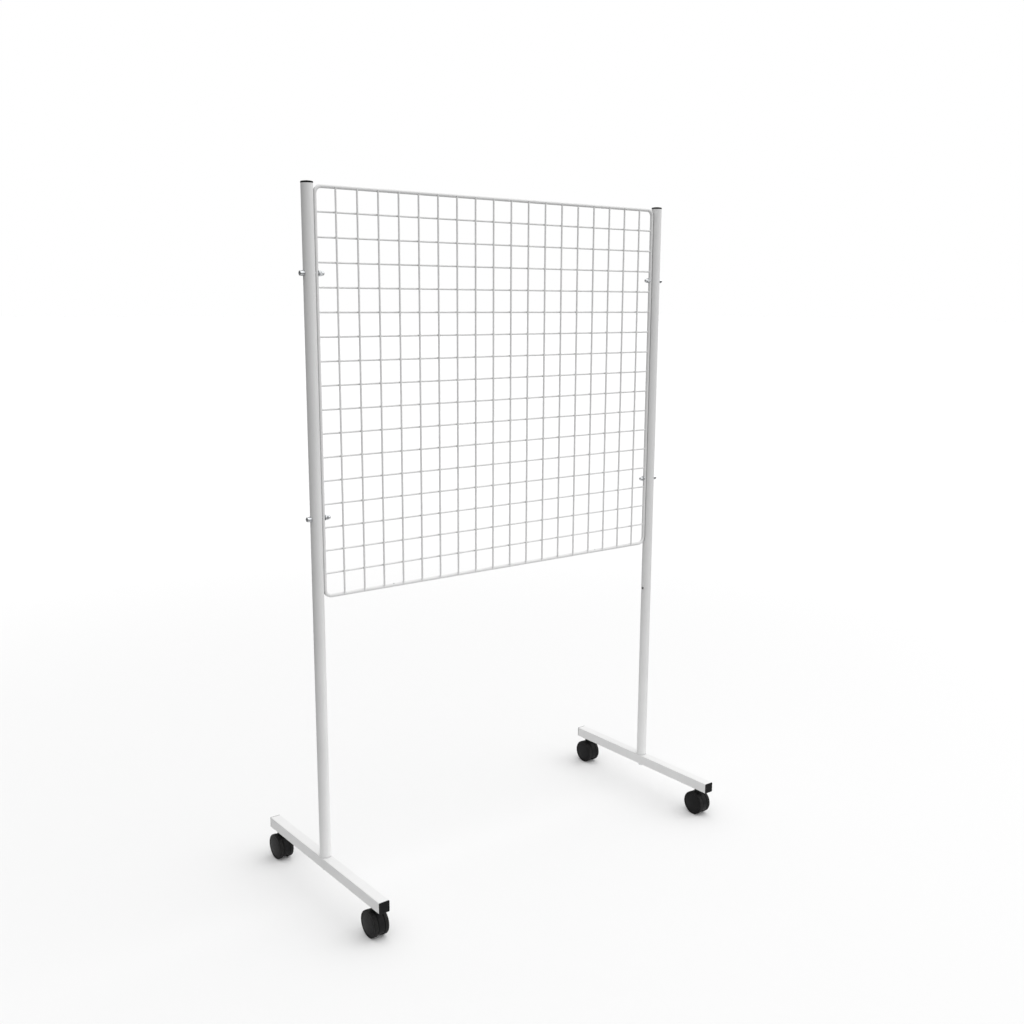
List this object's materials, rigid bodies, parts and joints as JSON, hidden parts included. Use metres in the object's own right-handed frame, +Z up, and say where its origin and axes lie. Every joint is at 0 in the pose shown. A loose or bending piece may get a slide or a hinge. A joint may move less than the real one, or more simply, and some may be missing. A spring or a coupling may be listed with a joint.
{
  "type": "mobile wire grid display panel",
  "caption": "Free-standing wire grid display panel: a welded square mesh in a round tube frame, bolted between two posts on square feet with twin-wheel casters.",
  "frame": {"origin": "on the floor under the middle of the stand, at the bottom centre of the bounding box", "axes": "+Z up; X along the panel; -Y is the front, and the stand is mirror symmetric about X = 0"},
  "size_m": [1.0192, 0.504, 1.548],
  "materials": {
    "powder_coat": "white powder coat, satin, with a fine orange-peel texture",
    "black_plastic": "moulded black plastic, satin",
    "hood_nylon": "moulded black nylon, fine texture",
    "wheel_nylon": "moulded black nylon tread, lightly scuffed",
    "zinc_plate": "bright zinc plated steel",
    "plain_steel": "plain zinc plated steel"
  },
  "bodies": {
    "root": {"left_post": "powder_coat", "left_post_cap": "black_plastic", "left_foot": "powder_coat", "front_left_foot_cap": "black_plastic", "rear_left_foot_cap": "black_plastic", "right_post": "powder_coat", "right_post_cap": "black_plastic", "right_foot": "powder_coat", "front_right_foot_cap": "black_plastic", "rear_right_foot_cap": "black_plastic", "post_plugs": "plain_steel", "foot_bolts": "zinc_plate", "foot_bolt_washers": "zinc_plate", "panel_top_tube": "powder_coat", "panel_bottom_tube": "powder_coat", "panel_left_tube": "powder_coat", "panel_right_tube": "powder_coat", "panel_bends": "powder_coat", "vertical_wires": "powder_coat", "horizontal_wires": "powder_coat", "panel_bolts": "zinc_plate", "bolt_head_washers": "zinc_plate", "cap_nut_washers": "zinc_plate", "cap_nuts": "zinc_plate", "caster_nuts": "plain_steel", "front_left_stem": "plain_steel", "front_left_clip": "plain_steel", "rear_left_stem": "plain_steel", "rear_left_clip": "plain_steel", "front_right_stem": "plain_steel", "front_right_clip": "plain_steel", "rear_right_stem": "plain_steel", "rear_right_clip": "plain_steel"},
    "front_left_caster": {"front_left_hood": "hood_nylon", "front_left_axle": "plain_steel"},
    "front_left_left_wheel_set": {"front_left_left_wheel": "wheel_nylon", "front_left_left_cover": "hood_nylon"},
    "front_left_right_wheel_set": {"front_left_right_wheel": "wheel_nylon", "front_left_right_cover": "hood_nylon"},
    "rear_left_caster": {"rear_left_hood": "hood_nylon", "rear_left_axle": "plain_steel"},
    "rear_left_left_wheel_set": {"rear_left_left_wheel": "wheel_nylon", "rear_left_left_cover": "hood_nylon"},
    "rear_left_right_wheel_set": {"rear_left_right_wheel": "wheel_nylon", "rear_left_right_cover": "hood_nylon"},
    "front_right_caster": {"front_right_hood": "hood_nylon", "front_right_axle": "plain_steel"},
    "front_right_left_wheel_set": {"front_right_left_wheel": "wheel_nylon", "front_right_left_cover": "hood_nylon"},
    "front_right_right_wheel_set": {"front_right_right_wheel": "wheel_nylon", "front_right_right_cover": "hood_nylon"},
    "rear_right_caster": {"rear_right_hood": "hood_nylon", "rear_right_axle": "plain_steel"},
    "rear_right_left_wheel_set": {"rear_right_left_wheel": "wheel_nylon", "rear_right_left_cover": "hood_nylon"},
    "rear_right_right_wheel_set": {"rear_right_right_wheel": "wheel_nylon", "rear_right_right_cover": "hood_nylon"}
  },
  "joints": [
    {"name": "front_left_swivel", "type": "hinge", "parent": "root", "child": "front_left_caster", "pos_m": [-0.4875, -0.217, 0.068], "axis": [0, 0, 1], "continuous": true},
    {"name": "front_left_left_wheel_spin", "type": "hinge", "parent": "front_left_caster", "child": "front_left_left_wheel_set", "pos_m": [-0.4875, -0.212, 0.03], "axis": [1, 0, 0], "continuous": true},
    {"name": "front_left_right_wheel_spin", "type": "hinge", "parent": "front_left_caster", "child": "front_left_right_wheel_set", "pos_m": [-0.4875, -0.212, 0.03], "axis": [1, 0, 0], "continuous": true},
    {"name": "rear_left_swivel", "type": "hinge", "parent": "root", "child": "rear_left_caster", "pos_m": [-0.4875, 0.217, 0.068], "axis": [0, 0, 1], "continuous": true},
    {"name": "rear_left_left_wheel_spin", "type": "hinge", "parent": "rear_left_caster", "child": "rear_left_left_wheel_set", "pos_m": [-0.4875, 0.222, 0.03], "axis": [1, 0, 0], "continuous": true},
    {"name": "rear_left_right_wheel_spin", "type": "hinge", "parent": "rear_left_caster", "child": "rear_left_right_wheel_set", "pos_m": [-0.4875, 0.222, 0.03], "axis": [1, 0, 0], "continuous": true},
    {"name": "front_right_swivel", "type": "hinge", "parent": "root", "child": "front_right_caster", "pos_m": [0.4875, -0.217, 0.068], "axis": [0, 0, 1], "continuous": true},
    {"name": "front_right_left_wheel_spin", "type": "hinge", "parent": "front_right_caster", "child": "front_right_left_wheel_set", "pos_m": [0.4875, -0.212, 0.03], "axis": [1, 0, 0], "continuous": true},
    {"name": "front_right_right_wheel_spin", "type": "hinge", "parent": "front_right_caster", "child": "front_right_right_wheel_set", "pos_m": [0.4875, -0.212, 0.03], "axis": [1, 0, 0], "continuous": true},
    {"name": "rear_right_swivel", "type": "hinge", "parent": "root", "child": "rear_right_caster", "pos_m": [0.4875, 0.217, 0.068], "axis": [0, 0, 1], "continuous": true},
    {"name": "rear_right_left_wheel_spin", "type": "hinge", "parent": "rear_right_caster", "child": "rear_right_left_wheel_set", "pos_m": [0.4875, 0.222, 0.03], "axis": [1, 0, 0], "continuous": true},
    {"name": "rear_right_right_wheel_spin", "type": "hinge", "parent": "rear_right_caster", "child": "rear_right_right_wheel_set", "pos_m": [0.4875, 0.222, 0.03], "axis": [1, 0, 0], "continuous": true}
  ]
}
